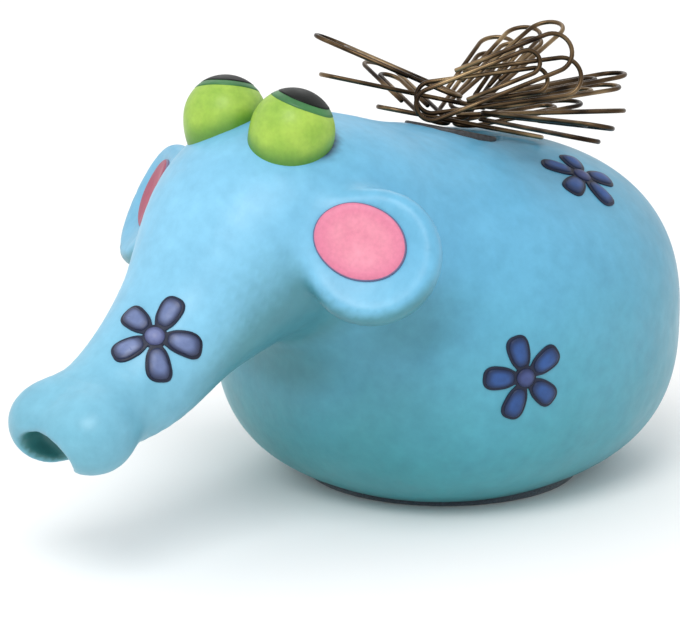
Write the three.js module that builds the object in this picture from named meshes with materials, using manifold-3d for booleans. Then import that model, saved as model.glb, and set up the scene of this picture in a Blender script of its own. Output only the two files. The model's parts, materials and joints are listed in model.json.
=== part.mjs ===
// A paper clip holder in the shape of a squat blue elephant. A magnet let into the elephant's back
// holds steel paper clips, which stand up like a tuft of hair and pull off one by one.
// Millimetres, +Z up. The elephant faces -Y, its left side is +X, and it stands on z = 0.
// The casting is sculpted as one skin, a distance field of blended forms, which is then meshed.
// Eyes, ear linings, flowers and magnet take their places from that skin, so they follow it.
import * as THREE from "three";
import { mergeVertices } from "three/addons/utils/BufferGeometryUtils.js";
import Module from "manifold-3d";

// Belly: an upright egg with full sides, its middle on the Z axis
const BELLY_HALF_WIDTH = 42;
const BELLY_FRONT = 43.5;
const BELLY_BACK = 48;
const BELLY_WAIST = 30.3;
const BELLY_BELOW = 33;
const BELLY_ABOVE = 35.4;
const BELLY_PLAN_POWER = 2.24;
const BELLY_LOW_POWER = 2.7;
const BELLY_HIGH_POWER = 2.4;

// Head and trunk: elliptic sections along a line in the middle plane, each one so far ahead of the
// belly's front and above its waist
const HEAD_SECTIONS = [
  { ahead: -29.5, up: 19.7, halfWidth: 26, halfDepth: 19 },
  { ahead: -8.5, up: 25.2, halfWidth: 27, halfDepth: 20 },
  { ahead: 5.5, up: 25.4, halfWidth: 21.8, halfDepth: 19.3 },
  { ahead: 22.5, up: 13.3, halfWidth: 14.5, halfDepth: 12.3 },
  { ahead: 36.5, up: 3.2, halfWidth: 11.4, halfDepth: 9.8 },
  { ahead: 53.2, up: -2.4, halfWidth: 9.8, halfDepth: 5.8 },
];
const HEAD_STEPS = 40;
const NECK_BLEND = 10;

// Trunk tip: two round lobes under the upper lip, with the mouth of the nostril between them
const LOBE_RADIUS = 6.6;
const LOBE_SPREAD = 6.4;
const LOBE_AHEAD = 51;
const LOBE_UP = -2.5;
const LOBE_BLEND = 4.5;
const NOSTRIL_WIDTH = 12.6;
const NOSTRIL_HEIGHT = 7.6;
const NOSTRIL_DEPTH = 7;
const NOSTRIL_AHEAD = 58.6;
const NOSTRIL_UP = -6;
const NOSTRIL_PITCH = 15;

// Ears: thick dished discs that grow out of the cheeks
const EAR_RADIUS = 12.4;
const EAR_THICKNESS = 7;
const EAR_SPREAD = 28.4;
const EAR_AHEAD = 4.8;
const EAR_UP = 25.2;
const EAR_FACES = new THREE.Vector3(0.5, -0.74, 0.45).normalize();
const EAR_BLEND = 4;
const DISH_RADIUS = 10.5;
const DISH_DEPTH = 2.4;
const DISH_BLEND = 2;
const EAR_CORE_IN = 1.3;

// Ear linings: domed ovals in the dishes
const LINING_LENGTH = 17.2;
const LINING_WIDTH = 13.6;
const LINING_TURN = -20;
const LINING_INWARD = 2.2;
const LINING_UP = 2.5;
const LINING_EDGE = 0.6;
const LINING_CROWN = 1;

// Eyes: balls set into the brow that look up and back, each with an iris ring and a pupil let in
const EYE_RADIUS = 7.7;
const EYE_SPREAD = 8.8;
const EYE_AHEAD = 5.5;
const EYE_UP = 45.2;
const EYE_ROOT = 10.5;
const EYE_GAZE = new THREE.Vector3(0.2, 0.29, 0.93).normalize();
const IRIS_ANGLE = 50;
const PUPIL_ANGLE = 41;
const IRIS_LET_IN = 0.9;

// Flowers: five oval petals round a button, domed and standing a little proud
const PETALS = 5;
const PETAL_LENGTH = 6.5;
const PETAL_WIDTH = 4.5;
const PETAL_CENTRE = 5;
const PETAL_OPEN = 125;
const PETAL_STEPS = 5;
const BUTTON_RADIUS = 2.3;
const FLOWER_EDGE = 0.5;
const FLOWER_CROWN = 0.9;

// Where the flowers are: a line from the middle plane, so far ahead of the belly's middle and above
// the base, goes out at a heading and a rise to each one's middle, and turn spins its petals
const FLOWERS = {
  flower_trunk_left: { ahead: 73, above: 34, heading: 139, rise: 41, turn: -8 },
  flower_flank_left: { ahead: 4.3, above: 29.6, heading: 111, rise: 0, turn: 32 },
  flower_rump_left: { ahead: -4.3, above: 13, heading: 74, rise: 61, turn: 49 },
  flower_flank_right: { ahead: 4.3, above: 29.6, heading: 249, rise: 0, turn: 10 },
  flower_rump_right: { ahead: -4.3, above: 13, heading: 286, rise: 61, turn: 20 },
  flower_rear: { ahead: 0, above: 27, heading: 4, rise: 6, turn: 18 },
};

// Magnet disc in the back
const MAGNET_RADIUS = 9;
const MAGNET_THICKNESS = 5;
const MAGNET_BACK = 2;
const MAGNET_PROUD = 0.3;

// Felt pad under the base
const PAD_RADIUS = 27;
const PAD_THICKNESS = 1.5;
const PAD_PROUD = 0.5;

// Paper clips: one wire bent into three half turns, and how far one is drawn to come away
const CLIP_LENGTH = 33;
const CLIP_WIDTH = 8.3;
const CLIP_WIRE = 0.9;
const CLIP_LOOP_GAP = 0.4;
const CLIP_INNER_SHORTER = 7;
const CLIP_INNER_PLAY = 0.05;
const CLIP_END_UP = 10;
const CLIP_TRAVEL = 40;
const SETTLE_STEP = 0.1;

// Where each clip's near end lies on the magnet and how it stands there, lowest first. The far end
// points to a heading on the magnet's face, 0 to the rear and 90 to the left side, and rises from
// that face. Roll turns the clip about its own length, reach is from the magnet's middle along the
// heading, and aside is to the heading's right.
const CLIPS = [
  { heading: 225, rise: 0, roll: 0, reach: -18, aside: 0 },
  { heading: 46, rise: 12, roll: 0, reach: 0.5, aside: -3 },
  { heading: 103, rise: 0, roll: 0, reach: 6.9, aside: -3.4 },
  { heading: 97, rise: 3, roll: 0, reach: 7, aside: -2.7 },
  { heading: 222, rise: 1, roll: 0, reach: -6, aside: 0 },
  { heading: 249, rise: 12, roll: 0, reach: 0, aside: 1.7 },
  { heading: 6, rise: 16, roll: 0, reach: 6.6, aside: -6.5 },
  { heading: 12, rise: 16, roll: 0, reach: 6.5, aside: 0 },
  { heading: 289, rise: 17, roll: 0, reach: 9, aside: 2 },
  { heading: 40, rise: 18, roll: 80, reach: -9, aside: 5.5 },
  { heading: 38, rise: 32, roll: 80, reach: -9, aside: 6.8 },
  { heading: 20, rise: 19, roll: 0, reach: 4, aside: 1 },
  { heading: 336, rise: 34, roll: 0, reach: 8, aside: -4 },
  { heading: 345, rise: 36, roll: 0, reach: 8, aside: -4 },
  { heading: 355, rise: 37, roll: 0, reach: 7, aside: -4 },
];

// Gap between pieces that touch, and how finely the skin is meshed
const SEAT_GAP = 0.3;
const CELL_FINE = 3.4;
const CELL_COARSE = 5;
const FINE_HALF_WIDTH = 22;
const ROUND_SIDES = 20;
const WIRE_SIDES = 6;
const BEND_STEPS = 6;

const { clamp, lerp, degToRad } = THREE.MathUtils;
const wasm = await Module();
wasm.setup();

// MATERIALS

const paint = (color, roughness = 0.45) =>
  new THREE.MeshStandardMaterial({ color, roughness, metalness: 0 });
const bluePaint = paint("#6cb4d4");
const limePaint = paint("#a9cc50", 0.35);
const greenPaint = paint("#3f8f57", 0.35);
const blackPaint = paint("#20262a", 0.3);
const pinkPaint = paint("#ee9fb4");
const navyPaint = paint("#31629a");
const felt = paint("#2d3a44", 1);
const ferrite = new THREE.MeshStandardMaterial({ color: "#3b3b3d", roughness: 0.6, metalness: 0.3 });
const clipSteel = new THREE.MeshStandardMaterial({ color: "#8a8078", roughness: 0.35, metalness: 1 });

// THE SKIN

const headPoint = (section) =>
  new THREE.Vector3(0, -BELLY_FRONT - section.ahead, BELLY_WAIST + section.up);
const smoothLine = (points) => new THREE.CatmullRomCurve3(points, false, "catmullrom", 0.5);
const headLine = smoothLine(HEAD_SECTIONS.map(headPoint)).getPoints(HEAD_STEPS);
const headSizes = smoothLine(
  HEAD_SECTIONS.map((section) => new THREE.Vector3(section.halfWidth, section.halfDepth, 0)),
).getPoints(HEAD_STEPS);
const lobeCentre = new THREE.Vector3(LOBE_SPREAD, -BELLY_FRONT - LOBE_AHEAD, BELLY_WAIST + LOBE_UP);
const earCentre = new THREE.Vector3(EAR_SPREAD, -BELLY_FRONT - EAR_AHEAD, BELLY_WAIST + EAR_UP);

// The distance to either of two forms, with the crease between them filled to a radius.
function smoothUnion(a, b, radius) {
  const h = clamp(0.5 + (0.5 * (b - a)) / radius, 0, 1);
  return lerp(b, a, h) - radius * h * (1 - h);
}

// The belly is a superellipse in plan, and another from its side to its top.
function bellyDistance(x, y, z) {
  const reachY = y < 0 ? BELLY_FRONT : BELLY_BACK;
  const reachZ = z < BELLY_WAIST ? BELLY_BELOW : BELLY_ABOVE;
  const n = BELLY_PLAN_POWER;
  const m = z < BELLY_WAIST ? BELLY_LOW_POWER : BELLY_HIGH_POWER;
  const u = Math.abs(x) / BELLY_HALF_WIDTH;
  const v = Math.abs(y) / reachY;
  const w = Math.abs(z - BELLY_WAIST) / reachZ;
  const plan = (u ** n + v ** n) ** (1 / n) + 1e-9;
  const level = (plan ** m + w ** m) ** (1 / m) + 1e-9;
  const planSlope = (plan / level) ** (m - 1);
  const slopeX = (planSlope * (u / plan) ** (n - 1)) / BELLY_HALF_WIDTH;
  const slopeY = (planSlope * (v / plan) ** (n - 1)) / reachY;
  const slopeZ = (w / level) ** (m - 1) / reachZ;
  return (level - 1) / Math.max(Math.hypot(slopeX, slopeY, slopeZ), 1e-4);
}

// The distance to an ellipse, from the distances across its two half axes.
function ellipseDistance(across, along, halfAcross, halfAlong) {
  const level = Math.hypot(across / halfAcross, along / halfAlong);
  const slope = Math.hypot(across / halfAcross ** 2, along / halfAlong ** 2);
  return level < 1e-3 ? -Math.min(halfAcross, halfAlong) : (level * (level - 1)) / slope;
}

// The head and trunk, as the nearest of the elliptic sections along their line.
function headDistance(x, y, z) {
  let nearest = Infinity;
  for (let i = 0; i < HEAD_STEPS; i++) {
    const from = headLine[i];
    const stepY = headLine[i + 1].y - from.y;
    const stepZ = headLine[i + 1].z - from.z;
    const along = (y - from.y) * stepY + (z - from.z) * stepZ;
    const t = clamp(along / (stepY ** 2 + stepZ ** 2), 0, 1);
    const away = Math.hypot(y - from.y - stepY * t, z - from.z - stepZ * t);
    const halfWidth = lerp(headSizes[i].x, headSizes[i + 1].x, t);
    const halfDepth = lerp(headSizes[i].y, headSizes[i + 1].y, t);
    nearest = Math.min(nearest, ellipseDistance(x, away, halfWidth, halfDepth));
  }
  return nearest;
}

// An ear is a disc with a full round edge, and its dish is a shallow bowl sunk in its face.
const earEdge = EAR_THICKNESS / 2;
const dishSphere = (DISH_RADIUS ** 2 + DISH_DEPTH ** 2) / (2 * DISH_DEPTH);

function earParts(side, y, z) {
  const from = new THREE.Vector3(side, y, z).sub(earCentre);
  const out = from.dot(EAR_FACES);
  const across = Math.sqrt(Math.max(from.lengthSq() - out ** 2, 0));
  const disc = Math.hypot(Math.max(across - (EAR_RADIUS - earEdge), 0), out) - earEdge;
  const dish = Math.hypot(across, out - earEdge - dishSphere + DISH_DEPTH) - dishSphere;
  return { disc, dish };
}

// The animal without its ears.
function earless(x, y, z) {
  const fromLobe = Math.hypot(Math.abs(x) - lobeCentre.x, y - lobeCentre.y, z - lobeCentre.z);
  const distance = smoothUnion(bellyDistance(x, y, z), headDistance(x, y, z), NECK_BLEND);
  return smoothUnion(distance, fromLobe - LOBE_RADIUS, LOBE_BLEND);
}

// The whole skin: negative inside the casting, positive outside.
function skin(x, y, z) {
  const { disc, dish } = earParts(Math.abs(x), y, z);
  return -smoothUnion(-smoothUnion(earless(x, y, z), disc, EAR_BLEND), dish, DISH_BLEND);
}

// The skin with a slighter core in place of each ear, which leaves the fillet at its root.
function skinAtEarRoots(x, y, z) {
  const { disc, dish } = earParts(Math.abs(x), y, z);
  return -smoothUnion(-smoothUnion(earless(x, y, z), disc + EAR_CORE_IN, EAR_BLEND), dish, DISH_BLEND);
}

// The direction straight out of the skin, or of another field, at a point.
function skinNormal(point, field = skin) {
  const step = 0.05;
  const { x, y, z } = point;
  return new THREE.Vector3(
    field(x + step, y, z) - field(x - step, y, z),
    field(x, y + step, z) - field(x, y - step, z),
    field(x, y, z + step) - field(x, y, z - step),
  ).normalize();
}

// The point where a line from outside first meets the skin. Each step goes part of the distance,
// since the field overstates it in places.
function meetSkin(from, direction) {
  const mostSteps = 200;
  const stepShare = 0.7;
  const nearEnough = 0.001;
  const point = from.clone();
  for (let i = 0; i < mostSteps; i++) {
    const distance = skin(point.x, point.y, point.z);
    if (distance < nearEnough) break;
    point.addScaledVector(direction, distance * stepShare);
  }
  return point;
}

// MESHING

// The planes of a grid along one axis, close together up to a place and wider beyond it.
function gridPlanes(from, to, fineTo) {
  const planes = [from];
  while (planes.at(-1) < to) {
    planes.push(planes.at(-1) + (planes.at(-1) < fineTo ? CELL_FINE : CELL_COARSE));
  }
  return planes;
}

// Meshes a distance field with one point in each grid cell that its surface passes through.
function meshField(field, xs, ys, zs) {
  const values = xs.map((x) => ys.map((y) => zs.map((z) => field(x, y, z))));
  const positions = [];
  const indices = [];
  const made = new Map();
  const corners = [0, 1, 2, 3, 4, 5, 6, 7].map((bits) => [bits & 1, (bits >> 1) & 1, bits >> 2]);

  function cellPoint(i, j, k) {
    const key = `${i} ${j} ${k}`;
    if (made.has(key)) return made.get(key);
    const point = new THREE.Vector3();
    let crossings = 0;
    for (const a of corners) {
      for (let axis = 0; axis < 3; axis++) {
        if (a[axis]) continue;
        const b = a.map((bit, n) => (n === axis ? 1 : bit));
        const valueA = values[i + a[0]][j + a[1]][k + a[2]];
        const valueB = values[i + b[0]][j + b[1]][k + b[2]];
        if (valueA < 0 === valueB < 0) continue;
        const cornerA = new THREE.Vector3(xs[i + a[0]], ys[j + a[1]], zs[k + a[2]]);
        const cornerB = new THREE.Vector3(xs[i + b[0]], ys[j + b[1]], zs[k + b[2]]);
        point.add(cornerA.lerp(cornerB, valueA / (valueA - valueB)));
        crossings++;
      }
    }
    point.divideScalar(crossings);
    for (let pass = 0; pass < 3; pass++) {
      point.addScaledVector(skinNormal(point, field), -field(point.x, point.y, point.z));
    }
    made.set(key, positions.length / 3);
    positions.push(point.x, point.y, point.z);
    return made.get(key);
  }

  function addQuad(quad) {
    const [a, b, c, d] = quad;
    const offSkin = (m, n) => {
      const middle = [0, 1, 2].map((axis) => (positions[3 * m + axis] + positions[3 * n + axis]) / 2);
      return Math.abs(field(...middle));
    };
    indices.push(...(offSkin(a, c) <= offSkin(b, d) ? [a, b, c, a, c, d] : [a, b, d, b, c, d]));
  }

  for (let i = 1; i < xs.length - 1; i++) {
    for (let j = 1; j < ys.length - 1; j++) {
      for (let k = 1; k < zs.length - 1; k++) {
        const inside = values[i][j][k] < 0;
        if (inside !== values[i + 1][j][k] < 0) {
          const ring = [[i, j - 1, k - 1], [i, j, k - 1], [i, j, k], [i, j - 1, k]];
          addQuad((inside ? ring : ring.reverse()).map((cell) => cellPoint(...cell)));
        }
        if (inside !== values[i][j + 1][k] < 0) {
          const ring = [[i - 1, j, k - 1], [i - 1, j, k], [i, j, k], [i, j, k - 1]];
          addQuad((inside ? ring : ring.reverse()).map((cell) => cellPoint(...cell)));
        }
        if (inside !== values[i][j][k + 1] < 0) {
          const ring = [[i - 1, j - 1, k], [i, j - 1, k], [i, j, k], [i - 1, j, k]];
          addQuad((inside ? ring : ring.reverse()).map((cell) => cellPoint(...cell)));
        }
      }
    }
  }
  return bufferOf(positions, indices);
}

function bufferOf(positions, indices) {
  const geometry = new THREE.BufferGeometry();
  geometry.setAttribute("position", new THREE.Float32BufferAttribute(positions, 3));
  geometry.setIndex(indices);
  geometry.computeVertexNormals();
  return geometry;
}

// Geometry to solid, for cutting, and back again.
function solidOf(geometry) {
  const bare = geometry.clone();
  bare.deleteAttribute("normal");
  bare.deleteAttribute("uv");
  const merged = mergeVertices(bare, 1e-4);
  return new wasm.Manifold(
    new wasm.Mesh({
      numProp: 3,
      vertProperties: new Float32Array(merged.attributes.position.array),
      triVerts: new Uint32Array(merged.index.array),
    }),
  );
}

function geometryOf(solid) {
  const { vertProperties, triVerts } = solid.getMesh();
  return bufferOf(Array.from(vertProperties), Array.from(triVerts));
}

// A turned solid on the Z axis, from [radius, height] points that start and end on it.
function turned(profile) {
  const points = profile.map(([radius, height]) => new THREE.Vector2(radius, height));
  return new THREE.LatheGeometry(points, ROUND_SIDES).rotateX(Math.PI / 2);
}

const drum = (radius, from, to) =>
  new THREE.CylinderGeometry(radius, radius, to - from, 2 * ROUND_SIDES)
    .rotateX(Math.PI / 2)
    .translate(0, 0, (from + to) / 2);

// Stands a piece that was made about the origin in its place.
const stand = (piece, place, turn) =>
  piece.applyMatrix4(new THREE.Matrix4().compose(place, turn, new THREE.Vector3(1, 1, 1)));

// EYES

const polar = (radius, degrees) =>
  [radius * Math.sin(degToRad(degrees)), radius * Math.cos(degToRad(degrees))];

// Points along an arc about the gaze, from one angle to another.
function arc(radius, from, to, steps) {
  return Array.from({ length: steps + 1 }, (_, i) => polar(radius, lerp(from, to, i / steps)));
}

// The angle from the gaze at which the round front of an eye takes over from its root.
const crownFrom = 75;

// The egg-shaped root of an eye, larger by a gap for its socket.
function eyeRoot(gap) {
  const stretch = (EYE_ROOT + gap) / (EYE_RADIUS + gap);
  return arc(EYE_RADIUS + gap, 180, 90, 5).map(([r, z]) => [r, z * stretch]);
}

function eyeBall() {
  const seat = EYE_RADIUS - IRIS_LET_IN;
  const crown = [...arc(EYE_RADIUS, crownFrom, IRIS_ANGLE, 2), ...arc(seat, IRIS_ANGLE, 0, 3)];
  return turned([...eyeRoot(0), ...crown]);
}

const eyeSocket = () =>
  turned([...eyeRoot(SEAT_GAP), ...arc(EYE_RADIUS + SEAT_GAP, crownFrom, 0, 4)]);

const eyeCentre = (side) =>
  new THREE.Vector3(side * EYE_SPREAD, -BELLY_FRONT - EYE_AHEAD, BELLY_WAIST + EYE_UP);

// Stands a piece that is turned about the gaze in the left or the right eye's place.
function placeEye(piece, side) {
  const gaze = new THREE.Vector3(side * EYE_GAZE.x, EYE_GAZE.y, EYE_GAZE.z);
  const turn = new THREE.Quaternion().setFromUnitVectors(new THREE.Vector3(0, 0, 1), gaze);
  return stand(piece, eyeCentre(side), turn);
}

function irisRing() {
  const under = EYE_RADIUS - IRIS_LET_IN + SEAT_GAP;
  const outer = arc(EYE_RADIUS, IRIS_ANGLE - 2, PUPIL_ANGLE + 1, 2);
  const inner = arc(under, PUPIL_ANGLE + 1, IRIS_ANGLE - 2, 2);
  return turned([...outer, ...inner, outer[0]]);
}

function pupilCap() {
  const under = EYE_RADIUS - IRIS_LET_IN + SEAT_GAP;
  return turned([...arc(under, 0, PUPIL_ANGLE - 2, 2), ...arc(EYE_RADIUS + 0.1, PUPIL_ANGLE - 2, 0, 2)]);
}

// THINGS THAT LIE ON THE SKIN

// A place on the skin, seen from inside the elephant: the line leaves the middle plane at a point so
// far ahead of the belly's middle and above the base, and goes out at a compass heading and a rise.
function skinSeat({ ahead, above, heading, rise }) {
  const out = new THREE.Vector3(
    Math.sin(degToRad(heading)) * Math.cos(degToRad(rise)),
    Math.cos(degToRad(heading)) * Math.cos(degToRad(rise)),
    Math.sin(degToRad(rise)),
  );
  const inside = new THREE.Vector3(0, -ahead, above);
  return meetSkin(inside.clone().addScaledVector(out, 80), out.clone().negate());
}

// A domed shape laid on the skin: an outline round a point, and rings of it at fractions of its size
// with their heights. Its underside keeps the seat gap to the skin.
function laidOn(centre, turn, outline, rings) {
  const normal = skinNormal(centre);
  const right = new THREE.Vector3(-normal.y, normal.x, 0).normalize();
  const up = normal.clone().cross(right);
  const cos = Math.cos(degToRad(turn));
  const sin = Math.sin(degToRad(turn));
  const positions = [];
  const indices = [];
  const count = outline.length;

  function addPoint([a, b], height) {
    const from = centre.clone();
    from.addScaledVector(right, a * cos - b * sin);
    from.addScaledVector(up, a * sin + b * cos);
    from.addScaledVector(normal, 6);
    const foot = meetSkin(from, normal.clone().negate());
    positions.push(...foot.addScaledVector(skinNormal(foot), height).toArray());
  }

  addPoint([0, 0], SEAT_GAP);
  for (const { size, height } of rings) {
    for (const [a, b] of outline) addPoint([a * size, b * size], SEAT_GAP + height);
  }
  addPoint([0, 0], SEAT_GAP + rings.at(-1).height);

  const last = positions.length / 3 - 1;
  for (let i = 0; i < count; i++) {
    const next = (i + 1) % count;
    indices.push(0, 1 + next, 1 + i);
    for (let ring = 0; ring < rings.length - 1; ring++) {
      const low = 1 + ring * count;
      const high = low + count;
      indices.push(low + i, low + next, high + next, low + i, high + next, high + i);
    }
    indices.push(last - count + i, last - count + next, last);
  }
  return bufferOf(positions, indices);
}

// Five ovals round a button, as one outline: each oval's outer part, then a point on the button.
function flowerOutline() {
  const outline = [];
  for (let petal = 0; petal < PETALS; petal++) {
    const middle = (2 * Math.PI * petal) / PETALS;
    const addPoint = (radius, angle) =>
      outline.push([radius * Math.cos(middle + angle), radius * Math.sin(middle + angle)]);
    for (let step = 0; step <= PETAL_STEPS; step++) {
      const round = degToRad(lerp(-PETAL_OPEN, PETAL_OPEN, step / PETAL_STEPS));
      const along = PETAL_CENTRE + (PETAL_LENGTH / 2) * Math.cos(round);
      const across = (PETAL_WIDTH / 2) * Math.sin(round);
      addPoint(Math.hypot(along, across), Math.atan2(across, along));
    }
    addPoint(BUTTON_RADIUS, Math.PI / PETALS);
  }
  return outline;
}

const flower = (place) =>
  laidOn(skinSeat(place), place.turn, flowerOutline(), [
    { size: 0.5, height: 0 },
    { size: 1, height: 0 },
    { size: 1, height: FLOWER_EDGE },
    { size: 0.7, height: FLOWER_CROWN },
    { size: 0.4, height: FLOWER_CROWN },
  ]);

function lining(side) {
  const outline = Array.from({ length: ROUND_SIDES }, (_, i) => {
    const angle = (2 * Math.PI * i) / ROUND_SIDES;
    return [(LINING_LENGTH / 2) * Math.cos(angle), (LINING_WIDTH / 2) * Math.sin(angle)];
  });
  const faces = new THREE.Vector3(side * EAR_FACES.x, EAR_FACES.y, EAR_FACES.z);
  const inward = new THREE.Vector3(side * EAR_FACES.y, -EAR_FACES.x, 0).normalize();
  const centre = new THREE.Vector3(side * earCentre.x, earCentre.y, earCentre.z);
  centre.addScaledVector(inward, LINING_INWARD);
  centre.z += LINING_UP;
  const seat = meetSkin(centre.addScaledVector(faces, EAR_RADIUS), faces.clone().negate());
  return laidOn(seat, side * LINING_TURN, outline, [
    { size: 0.5, height: 0 },
    { size: 1, height: 0 },
    { size: 1, height: LINING_EDGE },
    { size: 0.75, height: LINING_CROWN },
    { size: 0.4, height: LINING_CROWN },
  ]);
}

// CASTING

const magnetSeat = meetSkin(
  new THREE.Vector3(0, MAGNET_BACK, 2 * (BELLY_WAIST + BELLY_ABOVE)),
  new THREE.Vector3(0, 0, -1),
);
const magnetUp = skinNormal(magnetSeat);
const magnetFace = magnetSeat.clone().addScaledVector(magnetUp, MAGNET_PROUD);
const magnetTurn = new THREE.Quaternion().setFromUnitVectors(new THREE.Vector3(0, 0, 1), magnetUp);

// Stands a piece that is turned about +Z on the magnet's face.
const placeMagnet = (piece) => stand(piece, magnetFace, magnetTurn);

function nostril() {
  const section = new THREE.Shape();
  section.absellipse(0, 0, NOSTRIL_WIDTH / 2, NOSTRIL_HEIGHT / 2, 0, 2 * Math.PI);
  const options = { depth: 2 * NOSTRIL_DEPTH, steps: 1, bevelEnabled: false, curveSegments: 10 };
  return new THREE.ExtrudeGeometry(section, options)
    .translate(0, 0, -NOSTRIL_DEPTH)
    .rotateX(Math.PI / 2 + degToRad(NOSTRIL_PITCH))
    .translate(0, -BELLY_FRONT - NOSTRIL_AHEAD, BELLY_WAIST + NOSTRIL_UP);
}

// An ear: a disc turned about the line it faces along, with a round edge and its dish.
function ear(side) {
  const edge = Array.from({ length: 7 }, (_, i) => {
    const angle = degToRad(lerp(-90, 60, i / 6));
    return [EAR_RADIUS - earEdge + earEdge * Math.cos(angle), earEdge * Math.sin(angle)];
  });
  const dish = [0.85, 0.55, 0].map((part) => {
    const across = part * DISH_RADIUS;
    return [across, earEdge - DISH_DEPTH + dishSphere - Math.sqrt(dishSphere ** 2 - across ** 2)];
  });
  const faces = new THREE.Vector3(side * EAR_FACES.x, EAR_FACES.y, EAR_FACES.z);
  const centre = new THREE.Vector3(side * earCentre.x, earCentre.y, earCentre.z);
  const turn = new THREE.Quaternion().setFromUnitVectors(new THREE.Vector3(0, 0, 1), faces);
  return stand(turned([[0, -earEdge], ...edge, ...dish]), centre, turn);
}

function casting() {
  const half = gridPlanes(CELL_FINE / 2, BELLY_HALF_WIDTH + 4, FINE_HALF_WIDTH);
  const xs = [...half.map((x) => -x).reverse(), ...half];
  const ys = gridPlanes(-BELLY_FRONT - LOBE_AHEAD - 2 * LOBE_RADIUS, BELLY_BACK + 4, -BELLY_FRONT);
  const zs = gridPlanes(-8, BELLY_WAIST + BELLY_ABOVE + 20, 0);
  let solid = solidOf(meshField(skinAtEarRoots, xs, ys, zs));
  for (const side of [1, -1]) solid = solid.add(solidOf(ear(side)));

  const under = drum(4 * BELLY_BACK, -BELLY_BELOW, PAD_PROUD);
  const padRecess = drum(PAD_RADIUS + SEAT_GAP, -1, PAD_THICKNESS + SEAT_GAP);
  const pocket = placeMagnet(drum(MAGNET_RADIUS + SEAT_GAP, -MAGNET_THICKNESS - SEAT_GAP, 20));
  for (const cutter of [under, padRecess, pocket, nostril()]) {
    solid = solid.subtract(solidOf(cutter));
  }
  for (const side of [1, -1]) {
    solid = solid.subtract(solidOf(placeEye(eyeSocket(), side)));
  }
  return geometryOf(solid);
}

// PAPER CLIPS

// The three half turns of the wire's middle line, flat in a plane: each one's centre along the clip
// from its near end and across it, its radius, and the angle it starts from.
const outerSide = (CLIP_WIDTH - CLIP_WIRE) / 2;
const innerSide = outerSide - CLIP_WIRE - CLIP_LOOP_GAP;
const nearRadius = (outerSide + innerSide) / 2;
const innerRadius = innerSide - CLIP_INNER_PLAY;
const innerAlong = CLIP_LENGTH - CLIP_INNER_SHORTER - innerRadius;
const farTurn = { along: CLIP_LENGTH - CLIP_WIDTH / 2, across: 0, radius: outerSide, from: 0 };
const nearAlong = CLIP_WIRE / 2 + nearRadius;
const nearTurn = { along: nearAlong, across: outerSide - nearRadius, radius: nearRadius, from: 180 };
const innerTurn = { along: innerAlong, across: innerRadius - innerSide, radius: innerRadius, from: 0 };

function halfTurn({ along, across, radius, from }) {
  return Array.from({ length: BEND_STEPS + 1 }, (_, i) => {
    const angle = degToRad(from + (180 * i) / BEND_STEPS);
    return [along + radius * Math.sin(angle), across - radius * Math.cos(angle)];
  });
}

const wireStart = [CLIP_END_UP, -outerSide];
const wireEnd = [CLIP_END_UP, innerTurn.across + innerRadius];
const clipTurns = [farTurn, nearTurn, innerTurn].flatMap(halfTurn);
const clipLine = [wireStart, ...clipTurns, wireEnd].map(
  ([along, across]) => new THREE.Vector3(along, across, 0),
);

// A round wire along a flat line, with its ends closed.
function wireAlong(line) {
  const positions = [];
  const indices = [];
  const flatNormal = new THREE.Vector3(0, 0, 1);
  line.forEach((point, i) => {
    const before = line[Math.max(i - 1, 0)];
    const after = line[Math.min(i + 1, line.length - 1)];
    const sideways = after.clone().sub(before).normalize().cross(flatNormal);
    for (let k = 0; k < WIRE_SIDES; k++) {
      const angle = (2 * Math.PI * k) / WIRE_SIDES;
      const ring = point.clone();
      ring.addScaledVector(sideways, (Math.cos(angle) * CLIP_WIRE) / 2);
      ring.addScaledVector(flatNormal, (Math.sin(angle) * CLIP_WIRE) / 2);
      positions.push(...ring.toArray());
    }
  });
  const lastRing = (line.length - 1) * WIRE_SIDES;
  for (let ring = 0; ring < lastRing; ring += WIRE_SIDES) {
    for (let k = 0; k < WIRE_SIDES; k++) {
      const next = (k + 1) % WIRE_SIDES;
      const far = ring + WIRE_SIDES;
      indices.push(ring + k, far + k, far + next, ring + k, far + next, ring + next);
    }
  }
  for (let k = 1; k < WIRE_SIDES - 1; k++) {
    indices.push(0, k, k + 1);
    indices.push(lastRing, lastRing + k + 1, lastRing + k);
  }
  return bufferOf(positions, indices);
}

// Where a clip's near end is, and its directions along, across and square to its plane.
function clipStance(clip, lift) {
  const heading = degToRad(clip.heading);
  const level = new THREE.Vector3(Math.sin(heading), Math.cos(heading), 0).applyQuaternion(magnetTurn);
  const right = level.clone().cross(magnetUp);
  const along = level.clone().multiplyScalar(Math.cos(degToRad(clip.rise)));
  along.addScaledVector(magnetUp, Math.sin(degToRad(clip.rise)));
  const across = right.clone().applyAxisAngle(along, degToRad(clip.roll));
  const near = magnetFace.clone().addScaledVector(magnetUp, lift);
  near.addScaledVector(level, clip.reach).addScaledVector(right, clip.aside);
  return { near, along, across, square: along.clone().cross(across) };
}

// The flat sheet that a clip's middle line sweeps from where it lies to where it has come away.
const sheetEnd = CLIP_LENGTH - CLIP_WIRE / 2 + CLIP_TRAVEL;
const sheetOutline = [...halfTurn(nearTurn), wireStart, [sheetEnd, -outerSide], [sheetEnd, outerSide]];

function clipSheet(clip, lift) {
  const { near, along, across, square } = clipStance(clip, lift);
  const corners = sheetOutline.map(([a, b]) =>
    near.clone().addScaledVector(along, a).addScaledVector(across, b),
  );
  const edges = corners.map((corner, n) => corner.clone().sub(corners.at(n - 1)).normalize());
  return { along, corners, edges, square };
}

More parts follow.
